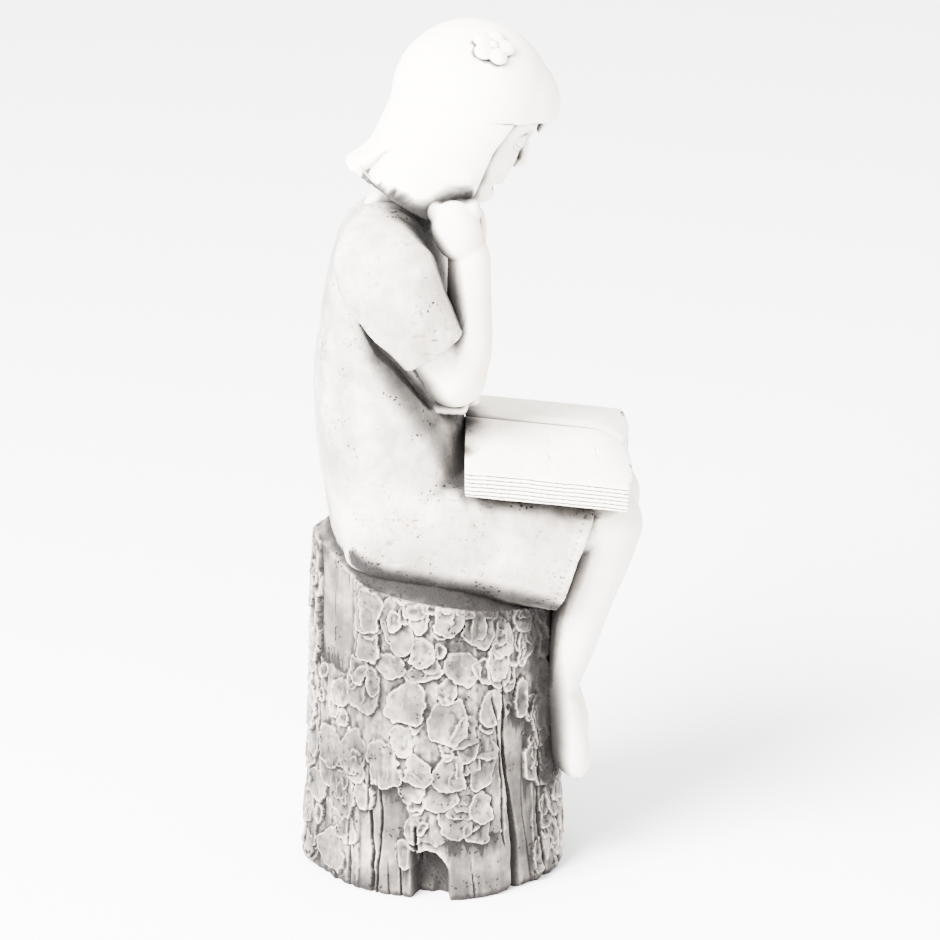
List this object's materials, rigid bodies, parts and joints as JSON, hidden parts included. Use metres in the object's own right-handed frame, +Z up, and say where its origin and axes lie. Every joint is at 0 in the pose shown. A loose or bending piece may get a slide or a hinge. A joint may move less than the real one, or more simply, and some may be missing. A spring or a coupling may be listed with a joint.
{
  "type": "girl garden statue",
  "caption": "Cast stone garden statue of a seated girl reading an open book on a tree stump, cheek on her fist.",
  "frame": {"origin": "middle of the flat underside of the tree stump", "axes": "+Z up, the girl faces -Y, +X is her left side"},
  "size_m": [0.2215, 0.2713, 0.688],
  "materials": {
    "cast_stone": "matt pale cast stone with a dark antique wash left in the hollows"
  },
  "bodies": {
    "root": {"reading_girl_statue": "cast_stone"}
  },
  "joints": []
}
